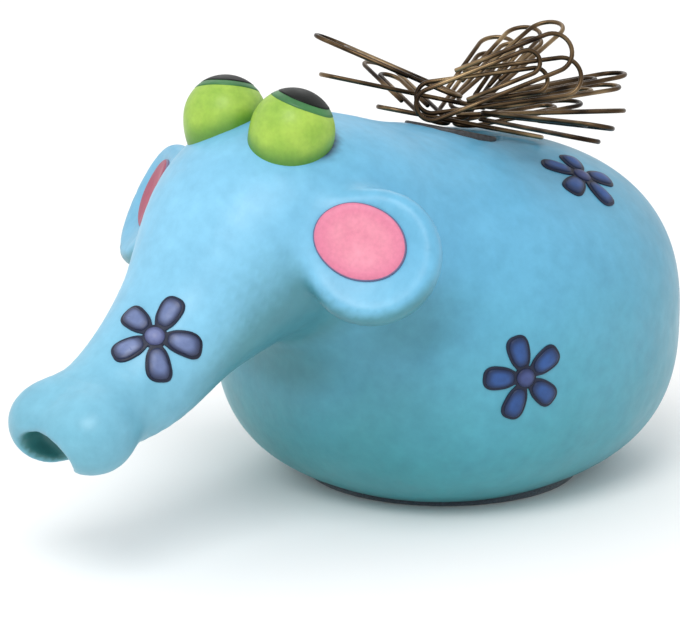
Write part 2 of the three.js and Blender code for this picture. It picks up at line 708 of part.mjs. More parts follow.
// How far apart two sheets are along a direction, less than zero if they pass each other.
function gapAlong(direction, a, b) {
  const ofA = a.corners.map((corner) => corner.dot(direction));
  const ofB = b.corners.map((corner) => corner.dot(direction));
  return Math.max(Math.min(...ofB) - Math.max(...ofA), Math.min(...ofA) - Math.max(...ofB));
}

// Whether two clips' sheets leave room for their wires, by looking for a direction that parts them.
function sheetsClear(a, b) {
  const wiresApart = (direction) =>
    direction.lengthSq() > 1e-6 && gapAlong(direction.normalize(), a, b) > CLIP_WIRE + SEAT_GAP;
  return (
    wiresApart(a.square.clone()) ||
    wiresApart(b.square.clone()) ||
    a.edges.some((one) => wiresApart(one.clone().cross(a.square))) ||
    b.edges.some((one) => wiresApart(one.clone().cross(b.square))) ||
    a.edges.some((one) => b.edges.some((other) => wiresApart(one.clone().cross(other))))
  );
}

// Whether a clip's near turn stands clear of the magnet's face, the skin and the eyes all the way out.
function clearOfHolder(sheet) {
  const room = CLIP_WIRE / 2 + SEAT_GAP;
  const turn = sheet.corners.slice(0, BEND_STEPS + 1);
  for (let out = 0; out < sheetEnd; out += CLIP_WIDTH / 2) {
    for (const corner of turn) {
      const point = corner.clone().addScaledVector(sheet.along, out);
      if (skin(point.x, point.y, point.z) < room) return false;
      const height = point.clone().sub(magnetFace).dot(magnetUp);
      if (height < room && point.distanceTo(magnetFace) < MAGNET_RADIUS + room) return false;
      if ([1, -1].some((eye) => point.distanceTo(eyeCentre(eye)) < EYE_RADIUS + room)) return false;
    }
  }
  return true;
}

// Lays the clips on one after the other. Each sinks as low as it can while its way off stays free.
function settleClips() {
  const settled = [];
  return CLIPS.map((clip) => {
    let lift = CLIP_WIRE / 2;
    let sheet = clipSheet(clip, lift);
    while (!clearOfHolder(sheet) || !settled.every((other) => sheetsClear(sheet, other))) {
      lift += SETTLE_STEP;
      sheet = clipSheet(clip, lift);
    }
    settled.push(sheet);
    return clipStance(clip, lift);
  });
}

// THE ASSEMBLY

const holder = new THREE.Group();

function add(name, geometry, material) {
  const mesh = new THREE.Mesh(geometry, material);
  mesh.name = name;
  holder.add(mesh);
  return mesh;
}

add("body_casting", casting(), bluePaint);
add("felt_pad", drum(PAD_RADIUS, 0, PAD_THICKNESS), felt);
add("magnet", placeMagnet(drum(MAGNET_RADIUS, -MAGNET_THICKNESS, 0)), ferrite);

for (const [name, side] of [["left", 1], ["right", -1]]) {
  add(`eye_${name}`, placeEye(eyeBall(), side), limePaint);
  add(`iris_${name}`, placeEye(irisRing(), side), greenPaint);
  add(`pupil_${name}`, placeEye(pupilCap(), side), blackPaint);
  add(`ear_lining_${name}`, lining(side), pinkPaint);
}

for (const [name, place] of Object.entries(FLOWERS)) add(name, flower(place), navyPaint);

settleClips().forEach(({ near, along, across, square }, n) => {
  const mesh = add(`paper_clip_${String(n + 1).padStart(2, "0")}`, wireAlong(clipLine), clipSteel);
  mesh.position.copy(near);
  mesh.quaternion.setFromRotationMatrix(new THREE.Matrix4().makeBasis(along, across, square));
});

export default holder;
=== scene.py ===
import json
import math

import bpy
import numpy as np
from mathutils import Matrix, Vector


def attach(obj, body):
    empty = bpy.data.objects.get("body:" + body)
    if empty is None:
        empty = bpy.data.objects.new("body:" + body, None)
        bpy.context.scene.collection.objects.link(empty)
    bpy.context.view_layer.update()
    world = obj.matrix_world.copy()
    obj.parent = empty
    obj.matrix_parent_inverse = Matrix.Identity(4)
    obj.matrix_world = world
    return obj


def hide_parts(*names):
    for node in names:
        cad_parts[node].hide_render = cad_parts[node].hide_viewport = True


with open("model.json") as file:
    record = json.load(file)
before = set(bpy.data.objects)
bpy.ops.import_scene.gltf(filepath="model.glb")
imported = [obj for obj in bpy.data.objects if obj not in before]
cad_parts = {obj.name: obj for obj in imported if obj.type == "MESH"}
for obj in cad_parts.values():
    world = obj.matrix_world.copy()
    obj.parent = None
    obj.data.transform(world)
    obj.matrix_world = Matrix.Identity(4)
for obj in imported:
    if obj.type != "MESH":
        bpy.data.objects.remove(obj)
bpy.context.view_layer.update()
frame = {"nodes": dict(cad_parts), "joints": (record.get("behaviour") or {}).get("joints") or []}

# The figure's sizes, which are those of the solids except where a comment says otherwise

BELLY_HALF_WIDTH, BELLY_FRONT, BELLY_BACK = 42, 43.5, 48
BELLY_WAIST, BELLY_BELOW, BELLY_ABOVE = 30.3, 33, 35.4
BELLY_PLAN_POWER, BELLY_LOW_POWER, BELLY_HIGH_POWER = 2.24, 2.7, 2.4

# Sections of head and trunk: ahead of the belly's front, above its waist, half width, half depth
HEAD_SECTIONS = [
    (-29.5, 19.7, 26, 19),
    (-8.5, 25.2, 27, 20),
    (5.5, 25.4, 21.8, 19.3),
    (22.5, 13.3, 14.5, 12.3),
    (36.5, 3.2, 11.4, 9.8),
    (53.2, -2.4, 9.8, 5.8),
]
HEAD_STEPS = 40
NECK_BLEND = 10
LOBE_RADIUS, LOBE_SPREAD, LOBE_AHEAD, LOBE_UP, LOBE_BLEND = 6.6, 6.4, 51, -2.5, 4.5
NOSTRIL_WIDTH, NOSTRIL_HEIGHT, NOSTRIL_DEPTH = 12.6, 7.6, 7
NOSTRIL_AHEAD, NOSTRIL_UP, NOSTRIL_PITCH = 58.6, -6, 15

# Rounding that only the painted casting has: the nostril's lip and floor, and the edge of the foot
NOSTRIL_LIP, NOSTRIL_FLOOR, FOOT_EDGE = 1.8, 2, 1.2

EAR_RADIUS, EAR_THICKNESS, EAR_BLEND = 12.4, 7, 4
EAR_SPREAD, EAR_AHEAD, EAR_UP = 28.4, 4.8, 25.2
EAR_FACES = np.array((0.5, -0.74, 0.45)) / np.linalg.norm((0.5, -0.74, 0.45))
DISH_RADIUS, DISH_DEPTH, DISH_BLEND = 10.5, 2.4, 2
LINING_LENGTH, LINING_WIDTH, LINING_TURN = 17.2, 13.6, -20
LINING_INWARD, LINING_UP = 2.2, 2.5

EYE_RADIUS, EYE_SPREAD, EYE_AHEAD, EYE_UP, EYE_ROOT = 7.7, 8.8, 5.5, 45.2, 10.5
EYE_GAZE = np.array((0.2, 0.29, 0.93)) / np.linalg.norm((0.2, 0.29, 0.93))

# The pupil's paint ends 2.5 degrees inside its solid's edge
IRIS_ANGLE, PUPIL_ANGLE = 50, 38.5

PETALS, PETAL_LENGTH, PETAL_WIDTH, PETAL_CENTRE, BUTTON_RADIUS = 5, 6.5, 4.5, 5, 2.3

# Flowers: ahead of the belly's middle, above the base, heading, rise, turn
FLOWERS = {
    "flower_trunk_left": (73, 34, 139, 41, -8),
    "flower_flank_left": (4.3, 29.6, 111, 0, 32),
    "flower_rump_left": (-4.3, 13, 74, 61, 49),
    "flower_flank_right": (4.3, 29.6, 249, 0, 10),
    "flower_rump_right": (-4.3, 13, 286, 61, 20),
    "flower_rear": (0, 27, 4, 6, 18),
}

MAGNET_RADIUS, MAGNET_THICKNESS, MAGNET_BACK, MAGNET_PROUD = 9, 5, 2, 0.3

# The painted casting's shallow seat for the magnet: play round it, depth below its face, rounded lip
SEAT_PLAY, SEAT_DEPTH, SEAT_LIP = 0.3, 1, 0.6

PAD_RADIUS, PAD_THICKNESS, PAD_PROUD = 27, 1.5, 0.5

CLIP_LENGTH, CLIP_WIDTH, CLIP_WIRE, CLIP_LOOP_GAP = 33, 8.3, 0.9, 0.4
CLIP_INNER_SHORTER, CLIP_INNER_PLAY, CLIP_END_UP = 7, 0.05, 10


def smooth_line(points, steps):
    """Evenly stepped points of the Catmull-Rom line through some points."""
    points = np.array(points, float)
    padded = np.vstack([2 * points[0] - points[1], points, 2 * points[-1] - points[-2]])
    out = []
    for s in np.linspace(0, len(points) - 1, steps + 1):
        i = min(int(s), len(points) - 2)
        t = s - i
        p0, p1, p2, p3 = padded[i : i + 4]
        v0, v1 = (p2 - p0) / 2, (p3 - p1) / 2
        out.append(
            (2 * p1 - 2 * p2 + v0 + v1) * t**3
            + (-3 * p1 + 3 * p2 - 2 * v0 - v1) * t**2
            + v0 * t
            + p1
        )
    return np.array(out)


head_line = smooth_line([(-BELLY_FRONT - a, BELLY_WAIST + u) for a, u, _, _ in HEAD_SECTIONS], HEAD_STEPS)
head_sizes = smooth_line([(w, d) for _, _, w, d in HEAD_SECTIONS], HEAD_STEPS)
lobe_centre = (LOBE_SPREAD, -BELLY_FRONT - LOBE_AHEAD, BELLY_WAIST + LOBE_UP)
ear_centre = np.array((EAR_SPREAD, -BELLY_FRONT - EAR_AHEAD, BELLY_WAIST + EAR_UP))
ear_edge = EAR_THICKNESS / 2
dish_sphere = (DISH_RADIUS**2 + DISH_DEPTH**2) / (2 * DISH_DEPTH)


def smooth_union(a, b, radius):
    """Distance to two bodies together, their joint filled to about a radius."""
    h = np.clip(0.5 + 0.5 * (b - a) / radius, 0, 1)
    return b + (a - b) * h - radius * h * (1 - h)


def belly_distance(x, y, z):
    """Distance to the belly, a superellipse in plan and in height, with its own reach to each side."""
    reach_y = np.where(y < 0, BELLY_FRONT, BELLY_BACK)
    reach_z = np.where(z < BELLY_WAIST, BELLY_BELOW, BELLY_ABOVE)
    n = BELLY_PLAN_POWER
    m = np.where(z < BELLY_WAIST, BELLY_LOW_POWER, BELLY_HIGH_POWER)
    u, v, w = np.abs(x) / BELLY_HALF_WIDTH, np.abs(y) / reach_y, np.abs(z - BELLY_WAIST) / reach_z
    plan = (u**n + v**n) ** (1 / n) + 1e-9
    level = (plan**m + w**m) ** (1 / m) + 1e-9
    plan_slope = (plan / level) ** (m - 1)
    slope_x = plan_slope * (u / plan) ** (n - 1) / BELLY_HALF_WIDTH
    slope_y = plan_slope * (v / plan) ** (n - 1) / reach_y
    slope_z = (w / level) ** (m - 1) / reach_z
    return (level - 1) / np.maximum(np.sqrt(slope_x**2 + slope_y**2 + slope_z**2), 1e-4)


def head_distance(x, y, z):
    """Distance to head and trunk, elliptic sections along the line through them."""
    nearest = np.inf
    for i in range(HEAD_STEPS):
        (from_y, from_z), (step_y, step_z) = head_line[i], head_line[i + 1] - head_line[i]
        along = (y - from_y) * step_y + (z - from_z) * step_z
        t = np.clip(along / (step_y**2 + step_z**2), 0, 1)
        away = np.hypot(y - from_y - step_y * t, z - from_z - step_z * t)
        half_width = head_sizes[i, 0] + (head_sizes[i + 1, 0] - head_sizes[i, 0]) * t
        half_depth = head_sizes[i, 1] + (head_sizes[i + 1, 1] - head_sizes[i, 1]) * t
        level = np.hypot(x / half_width, away / half_depth)
        slope = np.hypot(x / half_width**2, away / half_depth**2)
        near = level < 1e-3
        distance = np.where(
            near,
            -np.minimum(half_width, half_depth),
            level * (level - 1) / np.where(near, 1, slope),
        )
        nearest = np.minimum(nearest, distance)
    return nearest


def skin(x, y, z):
    """Distance to the casting's skin before anything is cut from it, less than zero inside."""
    side = np.abs(x)
    from_lobe = np.sqrt((side - lobe_centre[0]) ** 2 + (y - lobe_centre[1]) ** 2 + (z - lobe_centre[2]) ** 2)
    distance = smooth_union(belly_distance(x, y, z), head_distance(x, y, z), NECK_BLEND)
    distance = smooth_union(distance, from_lobe - LOBE_RADIUS, LOBE_BLEND)
    dx, dy, dz = side - ear_centre[0], y - ear_centre[1], z - ear_centre[2]
    out = dx * EAR_FACES[0] + dy * EAR_FACES[1] + dz * EAR_FACES[2]
    across = np.sqrt(np.maximum(dx**2 + dy**2 + dz**2 - out**2, 0))
    ear = np.hypot(np.maximum(across - (EAR_RADIUS - ear_edge), 0), out) - ear_edge
    dish = np.hypot(across, out - ear_edge - dish_sphere + DISH_DEPTH) - dish_sphere
    return -smooth_union(-smooth_union(distance, ear, EAR_BLEND), dish, DISH_BLEND)


def casting_field(x, y, z):
    """The skin with the scoop of the nostril, the seat of the magnet and the flat underside cut from it."""
    pitch = math.radians(NOSTRIL_PITCH)
    dy, dz = y + BELLY_FRONT + NOSTRIL_AHEAD, z - BELLY_WAIST - NOSTRIL_UP
    high = dy * -math.sin(pitch) + dz * math.cos(pitch)
    deep = dy * math.cos(pitch) + dz * math.sin(pitch)
    level = np.hypot(x / (NOSTRIL_WIDTH / 2), high / (NOSTRIL_HEIGHT / 2)) + 1e-6
    slope = np.hypot(x / (NOSTRIL_WIDTH / 2) ** 2, high / (NOSTRIL_HEIGHT / 2) ** 2) + 1e-6
    tube = level * (level - 1) / slope
    scoop = -smooth_union(-tube, -(deep - NOSTRIL_DEPTH), NOSTRIL_FLOOR)
    cut = -smooth_union(-skin(x, y, z), scoop, NOSTRIL_LIP)
    dx, dy, dz = x - magnet_face[0], y - magnet_face[1], z - magnet_face[2]
    out = dx * magnet_up[0] + dy * magnet_up[1] + dz * magnet_up[2]
    across = np.sqrt(np.maximum(dx**2 + dy**2 + dz**2 - out**2, 0))
    seat = np.maximum(across - MAGNET_RADIUS - SEAT_PLAY, -out - SEAT_DEPTH)
    cut = -smooth_union(-cut, seat, SEAT_LIP)
    return -smooth_union(-cut, z - PAD_PROUD, FOOT_EDGE)


def normal_of(field, p, step=0.05):
    """The directions in which a field grows fastest at some points."""
    grad = np.empty_like(p)
    for axis in range(3):
        shift = np.zeros(3)
        shift[axis] = step
        grad[:, axis] = field(*(p + shift).T) - field(*(p - shift).T)
    return grad / (np.linalg.norm(grad, axis=1, keepdims=True) + 1e-12)


def grid_planes(low, high, fine, coarse, fine_to):
    """Places of grid planes, a fine step apart up to a place and a coarse step past it."""
    planes = [low]
    while planes[-1] < high:
        planes.append(planes[-1] + (fine if planes[-1] < fine_to else coarse))
    return np.array(planes)


# Rounds that move a meshed surface's points onto it, and the share of the way in each
SETTLE_ROUNDS, SETTLE_SHARE = 3, 0.9


def mesh_field(field, xs, ys, zs):
    """Vertices and quads of a field's surface, one vertex in each cell that it passes through."""
    values = field(xs[:, None, None], ys[None, :, None], zs[None, None, :])
    inside = values < 0
    axes = (xs, ys, zs)
    cells = tuple(n - 1 for n in values.shape)
    total, count = np.zeros(cells + (3,)), np.zeros(cells)
    crossings = []
    for axis in range(3):
        low = [slice(None)] * 3
        high = [slice(None)] * 3
        low[axis], high[axis] = slice(0, -1), slice(1, None)
        low, high = tuple(low), tuple(high)
        crosses = inside[low] != inside[high]
        share = values[low] / np.where(crosses, values[low] - values[high], 1)
        place = []
        for n in range(3):
            shape = [1, 1, 1]
            shape[n] = -1
            if n == axis:
                start, width = axes[n][:-1].reshape(shape), np.diff(axes[n]).reshape(shape)
                place.append(start + width * share)
            else:
                place.append(np.broadcast_to(axes[n].reshape(shape), crosses.shape))
        others = [n for n in range(3) if n != axis]
        for a in (0, 1):
            for b in (0, 1):
                part = [slice(None)] * 3
                part[others[0]] = slice(a, a + cells[others[0]])
                part[others[1]] = slice(b, b + cells[others[1]])
                part = tuple(part)
                hit = crosses[part]
                count += hit
                for n in range(3):
                    total[..., n] += np.where(hit, place[n][part], 0)
        crossings.append((axis, others, crosses, inside[low]))
    active = count > 0
    index = np.full(cells, -1)
    index[active] = np.arange(active.sum())
    points = total[active] / count[active][:, None]

    quads = []
    for axis, (first, second), crosses, starts_inside in crossings:
        at = np.argwhere(crosses)
        keep = (
            (at[:, first] > 0)
            & (at[:, second] > 0)
            & (at[:, first] < values.shape[first] - 1)
            & (at[:, second] < values.shape[second] - 1)
        )
        at = at[keep]
        ring = []
        for a, b in ((1, 1), (0, 1), (0, 0), (1, 0)):
            cell = at.copy()
            cell[:, first] -= a
            cell[:, second] -= b
            ring.append(index[tuple(cell.T)])
        ring = np.stack(ring, axis=1)
        outward = starts_inside[tuple(at.T)] != (axis == 1)
        quads.append(np.where(outward[:, None], ring, ring[:, ::-1]))
    for _ in range(SETTLE_ROUNDS):
        points = points - normal_of(field, points) * field(*points.T)[:, None] * SETTLE_SHARE
    return points, np.concatenate(quads)


# Steps towards the skin along a line, and the share of the distance in each
MEET_STEPS, MEET_SHARE = 90, 0.7


def meet_skin(start, direction):
    """The points where lines from outside first meet the skin."""
    points = np.atleast_2d(np.array(start, float)).copy()
    for _ in range(MEET_STEPS):
        points += direction * (skin(*points.T) * MEET_SHARE)[:, None]
    return points


high_over_magnet = np.array((0, MAGNET_BACK, 2 * (BELLY_WAIST + BELLY_ABOVE)))
magnet_seat = meet_skin(high_over_magnet, np.array((0, 0, -1)))
magnet_up = normal_of(skin, magnet_seat)[0]
magnet_face = magnet_seat[0] + magnet_up * MAGNET_PROUD


# Objects


def make_object(name, points, faces, materials, face_slots=None, smooth=True):
    """A mesh object in metres, from points in millimetres."""
    mesh = bpy.data.meshes.new(name)
    mesh.from_pydata((np.asarray(points, float) * 0.001).tolist(), [], [list(map(int, f)) for f in faces])
    for material in materials:
        mesh.materials.append(material)
    if face_slots is not None:
        mesh.polygons.foreach_set("material_index", np.asarray(face_slots, dtype=np.int32))
    mesh.polygons.foreach_set("use_smooth", [smooth] * len(mesh.polygons))
    mesh.update()
    made = bpy.data.objects.new(name, mesh)
    bpy.context.collection.objects.link(made)
    return made


def store(made, name, values):
    """Stores a number from 0 to 1 with each point of an object, for its material."""
    attribute = made.data.attributes.new(name, "FLOAT", "POINT")
    attribute.data.foreach_set("value", np.clip(values, 0, 1).astype(np.float32))


def dress(piece, node, body):
    """Makes a piece stand for a node, whose solid it hides, and move with its body."""
    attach(piece, body)
    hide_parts(node)


class Parts:
    """Collects rings of points and their faces, each with its material slot, into one mesh. A point's
    crown is 0 at the edge of a domed coat and 1 at its top."""

    def __init__(self):
        self.points, self.crowns, self.faces, self.slots = [], [], [], []
        self.size = 0

    def add(self, points, crown=0.0):
        """Adds points and returns the number of the first."""
        self.points.append(np.asarray(points, float))
        self.crowns.append(np.broadcast_to(crown, len(points)))
        self.size += len(points)
        return self.size - len(points)

    def face(self, corners, slot=0):
        self.faces.append(corners)
        self.slots.append(slot)

    def bridge(self, low, high, count, slot=0):
        """Faces between two rings of points."""
        for i in range(count):
            j = (i + 1) % count
            self.face((low + i, low + j, high + j, high + i), slot)

    def fan(self, ring, tip, count, slot=0):
        """Faces from a ring of points to one point."""
        for i in range(count):
            self.face((ring + i, ring + (i + 1) % count, tip), slot)

    def build(self, name, materials):
        made = make_object(name, np.vstack(self.points), self.faces, materials, self.slots)
        store(made, "crown", np.concatenate(self.crowns))
        return made


TURN_SIDES = 96


def turned(parts, profile, turn, place, sides=TURN_SIDES):
    """A solid turned about its axis: profile of (radius, height), which starts and ends on the axis.
    A radius or a height may be an array with a value for each side."""
    angles = np.linspace(0, 2 * math.pi, sides, endpoint=False)
    rings = []
    for radius, height in profile[1:-1]:
        ring = np.stack([radius * np.cos(angles), radius * np.sin(angles), height * np.ones(sides)], 1)
        rings.append(parts.add(ring @ turn.T + place))
    first = parts.add([np.array((0, 0, profile[0][1])) @ turn.T + place])
    last = parts.add([np.array((0, 0, profile[-1][1])) @ turn.T + place])
    for low, high in zip(rings, rings[1:]):
        parts.bridge(low, high, sides)
    for i in range(sides):
        parts.face((rings[0] + (i + 1) % sides, rings[0] + i, first))
    parts.fan(rings[-1], last, sides)


def basis_to(axis):
    """Columns that turn +Z to an axis."""
    axis = np.asarray(axis, float)
    side = np.cross((0, 1, 0) if abs(axis[1]) < 0.9 else (1, 0, 0), axis)
    side /= np.linalg.norm(side)
    return np.stack([side, np.cross(axis, side), axis], 1)


# Materials


def linear(rgb):
    """sRGB values of 0 to 255 as a linear colour."""
    out = [c / 255 / 12.92 if c / 255 <= 0.04045 else ((c / 255 + 0.055) / 1.055) ** 2.4 for c in rgb]
    return (*out, 1)


class Nodes:
    """A new material's node tree, with short calls for the nodes that are used here."""

    def __init__(self, name):
        self.material = bpy.data.materials.new(name)
        self.material.use_nodes = True
        self.tree = self.material.node_tree
        self.shader = self.tree.nodes["Principled BSDF"]
        coords = self.tree.nodes.new("ShaderNodeNewGeometry")
        self.place = coords.outputs["Position"]

    def link(self, value, socket):
        if isinstance(value, bpy.types.NodeSocket):
            self.tree.links.new(value, socket)
        else:
            socket.default_value = value

    def noise(self, scale, detail=3, roughness=0.5, place=None):
        node = self.tree.nodes.new("ShaderNodeTexNoise")
        node.inputs["Scale"].default_value = scale
        node.inputs["Detail"].default_value = detail
        node.inputs["Roughness"].default_value = roughness
        self.link(place or self.place, node.inputs["Vector"])
        return node.outputs["Fac"]

    def stretched(self, x, y, z):
        """The place of a point, with each axis scaled."""
        node = self.tree.nodes.new("ShaderNodeMapping")
        node.inputs["Scale"].default_value = (x, y, z)
        self.link(self.place, node.inputs["Vector"])
        return node.outputs["Vector"]

    def ramp(self, value, *stops):
        """A colour or a grey for a value, between stops of (value, colour or grey)."""
        node = self.tree.nodes.new("ShaderNodeValToRGB")
        elements = node.color_ramp.elements
        while len(elements) < len(stops):
            elements.new(0.5)
        for element, (at, color) in zip(elements, stops):
            element.position = at
            element.color = color if len(np.shape(color)) else (color, color, color, 1)
        self.link(value, node.inputs["Fac"])
        return node.outputs["Color"]

    def mix(self, share, a, b, blend="MIX"):
        """A colour between two, or with MULTIPLY their product, by a share of the second."""
        node = self.tree.nodes.new("ShaderNodeMix")
        node.data_type = "RGBA"
        node.blend_type = blend
        self.link(share, node.inputs[0])
        self.link(a, node.inputs[6])
        self.link(b, node.inputs[7])
        return node.outputs[2]

    def math(self, operation, a, b):
        node = self.tree.nodes.new("ShaderNodeMath")
        node.operation = operation
        self.link(a, node.inputs[0])
        self.link(b, node.inputs[1])
        return node.outputs[0]

    def position(self, axis):
        node = self.tree.nodes.new("ShaderNodeSeparateXYZ")
        self.link(self.place, node.inputs[0])
        return node.outputs[axis]

    def share_between(self, value, low, high):
        """0 at low, 1 at high, and a soft rise between them."""
        node = self.tree.nodes.new("ShaderNodeMapRange")
        node.interpolation_type = "SMOOTHSTEP"
        node.inputs["From Min"].default_value = low
        node.inputs["From Max"].default_value = high
        self.link(value, node.inputs["Value"])
        return node.outputs["Result"]

    def attribute(self, name):
        node = self.tree.nodes.new("ShaderNodeAttribute")
        node.attribute_name = name
        return node.outputs["Fac"]

    def bump(self, height, distance, under=None):
        node = self.tree.nodes.new("ShaderNodeBump")
        node.inputs["Distance"].default_value = distance
        node.inputs["Strength"].default_value = 1
        self.link(height, node.inputs["Height"])
        if under is not None:
            self.link(under, node.inputs["Normal"])
        return node.outputs["Normal"]

    def finish(self, color, roughness, normal=None, **even):
        """Sets the shader: even holds the values that are the same all over, by their sockets' names."""
        self.link(color, self.shader.inputs["Base Color"])
        self.link(roughness, self.shader.inputs["Roughness"])
        if normal is not None:
            self.link(normal, self.shader.inputs["Normal"])
        for name, value in even.items():
            self.shader.inputs[name.replace("_", " ")].default_value = value
        return self.material


WHITE = linear((255, 255, 255))

# The casting's paint. Sky blue comes in over teal between two heights, which the clouds raise and lower;
# the teal below is two-tone paint and also painted shade towards the bottom. The other tints have a colour,
# the most that they cover, and, for two, where they start and end along Y: a painted highlight on head
# and trunk, painted shade in the creases and towards the rear, and a dark shade line behind each eye.
SKY, TEAL = linear((98, 174, 210)), linear((54, 148, 156))
SKY_FROM, SKY_FULL, CLOUD_HEIGHT = 0, 0.06, 0.022
PAINTED_HIGHLIGHT, PAINTED_HIGHLIGHT_MOST, PAINTED_HIGHLIGHT_FROM, PAINTED_HIGHLIGHT_FULL = linear((150, 210, 238)), 0.5, -0.034, -0.074
REAR_SHADE, REAR_SHADE_MOST, REAR_SHADE_FROM, REAR_SHADE_FULL = linear((68, 140, 162)), 0.55, -0.012, 0.034
CREASE_SHADE, CREASE_SHADE_MOST = linear((42, 114, 110)), 0.9
EYE_SHADE = linear((22, 54, 78))


def painted_casting():
    """Teal paint with sky blue sprayed over it from above, darker below also as painted shade; a painted
    highlight on head and trunk, painted shade in the folds, under the head and towards the rear, and clouds
    all over.
    """
    n = Nodes("painted_casting")
    clouds = n.math("SUBTRACT", n.noise(38, detail=4, roughness=0.55), 0.5)
    height = n.math("ADD", n.position(2), n.math("MULTIPLY", clouds, CLOUD_HEIGHT))
    # Painted highlight: head and trunk painted paler, from in front of the belly onwards
    ahead = n.share_between(n.position(1), PAINTED_HIGHLIGHT_FROM, PAINTED_HIGHLIGHT_FULL)
    rear_shade_share = n.share_between(n.position(1), REAR_SHADE_FROM, REAR_SHADE_FULL)
    # Sky over teal: two-tone paint, and the darker teal below is also painted shade
    color = n.mix(n.share_between(height, SKY_FROM, SKY_FULL), TEAL, SKY)
    color = n.mix(n.math("MULTIPLY", ahead, PAINTED_HIGHLIGHT_MOST), color, PAINTED_HIGHLIGHT)
    # Painted shade in the creases, under the head and under the chin
    color = n.mix(n.math("MULTIPLY", n.attribute("crease_shade"), CREASE_SHADE_MOST), color, CREASE_SHADE)
    color = n.mix(n.attribute("eye_shade"), color, EYE_SHADE)
    # Painted shade: darker towards the rear
    color = n.mix(n.math("MULTIPLY", rear_shade_share, REAR_SHADE_MOST), color, REAR_SHADE)

    mottle = n.noise(330, detail=3, roughness=0.6)
    mottled = n.ramp(mottle, (0.3, linear((176, 196, 200))), (0.7, WHITE))
    color = n.mix(0.28, color, mottled, "MULTIPLY")
    blotch = n.noise(95, detail=4, roughness=0.6)
    blotched = n.ramp(blotch, (0.35, linear((205, 220, 226))), (0.65, WHITE))
    color = n.mix(0.3, color, blotched, "MULTIPLY")

    rough = n.ramp(n.noise(120, detail=3), (0.3, 0.36), (0.7, 0.5))
    strokes = n.noise(900, detail=2, place=n.stretched(1, 0.35, 0.6))
    waves = n.bump(n.noise(70, detail=3), distance=0.0004)
    normal = n.bump(strokes, distance=0.00005, under=waves)
    return n.finish(color, rough, normal, Coat_Weight=0.25, Coat_Roughness=0.36, IOR=1.45)


def enamel(name, color, shade, edge=None, roughness=0.4, coat=0.15, shine=0.5):
    """A hand-laid layer of glossy paint: its colour pools a little darker in places and at its edge."""
    n = Nodes(name)
    pools = n.noise(180, detail=3, roughness=0.55)
    pooled = n.ramp(pools, (0.35, linear(color)), (0.75, linear(shade)))
    if edge:
        pooled = n.mix(n.share_between(n.attribute("crown"), 0, 0.6), linear(edge), pooled)
    grains = n.ramp(n.noise(1260, detail=2), (0.3, linear((222, 222, 222))), (0.7, WHITE))
    mixed = n.mix(0.4, pooled, grains, "MULTIPLY")
    rough = n.ramp(n.noise(260, detail=2), (0.3, roughness), (0.7, roughness + 0.12))
    normal = n.bump(n.noise(420, detail=2), distance=0.00006)
    return n.finish(mixed, rough, normal, Coat_Weight=coat, Coat_Roughness=0.2, Specular_IOR_Level=shine)


def clip_steel():
    """Steel wire with painted reflections of a warm room: bright, brown and dark patches along it."""
    n = Nodes("clip_steel")
    dark, brown, bright = linear((36, 28, 22)), linear((92, 74, 54)), linear((150, 128, 96))
    color = n.ramp(n.noise(110, detail=2), (0.34, dark), (0.52, brown), (0.72, bright))
    rough = n.ramp(n.noise(600, detail=2), (0.3, 0.26), (0.7, 0.42))
    normal = n.bump(n.noise(2600, detail=2), distance=0.00002)
    return n.finish(color, rough, normal, Metallic=1.0)


def ferrite():
    """The dull grey, fine-grained face of a pressed magnet."""
    n = Nodes("ferrite")
    grains = n.noise(900, detail=4, roughness=0.7)
    color = n.ramp(grains, (0.3, linear((46, 46, 48))), (0.8, linear((86, 86, 88))))
    rough = n.ramp(n.noise(500, detail=2), (0.3, 0.5), (0.7, 0.7))
    normal = n.bump(n.noise(1500, detail=3), distance=0.00006)
    return n.finish(color, rough, normal, Metallic=0.25)


def pressed_felt():
    """Dark felt, rough with fibres."""
    n = Nodes("pressed_felt")
    fibres = n.noise(2200, detail=4, roughness=0.8)
    color = n.ramp(fibres, (0.3, linear((34, 44, 52))), (0.75, linear((70, 84, 96))))
    normal = n.bump(fibres, distance=0.0003)
    return n.finish(color, 0.95, normal, Sheen_Weight=0.4, Sheen_Roughness=0.5)


# The lime's edge colour is painted shade at the foot of each eye, where it meets the skin
lime = enamel("lime_enamel", (160, 194, 70), (126, 170, 48), edge=(84, 138, 40), roughness=0.42)
green = enamel("green_enamel", (50, 118, 58), (36, 92, 50))
black = enamel("black_enamel", (12, 18, 14), (7, 10, 9), coat=0, shine=0.2)
satin = {"roughness": 0.45, "coat": 0.1}
pink = enamel("pink_enamel", (228, 144, 164), (214, 122, 148), edge=(212, 116, 146), **satin)
# A darker copy of the pink for the right ear's lining: painted shade
shaded_pink = enamel("shaded_pink_enamel", (176, 64, 96), (156, 52, 82), edge=(150, 50, 84), **satin)
lining_edge = enamel("lining_edge_enamel", (122, 96, 128), (96, 104, 140), **satin)
outline_ink = enamel("outline_enamel", (24, 34, 60), (16, 22, 42), coat=0, shine=0.3)
navy = enamel("navy_enamel", (42, 82, 146), (30, 64, 118), edge=(16, 38, 76), coat=0.05, shine=0.35)
slate = enamel("slate_enamel", (112, 128, 172), (78, 96, 142), edge=(30, 42, 78), coat=0.1)
lilac = enamel("lilac_enamel", (116, 126, 172), (92, 102, 152), edge=(60, 68, 112), coat=0.1)
lavender = enamel("lavender_enamel", (66, 80, 132), (50, 62, 110), edge=(32, 42, 82), coat=0.05, shine=0.35)
steel = clip_steel()

# Casting

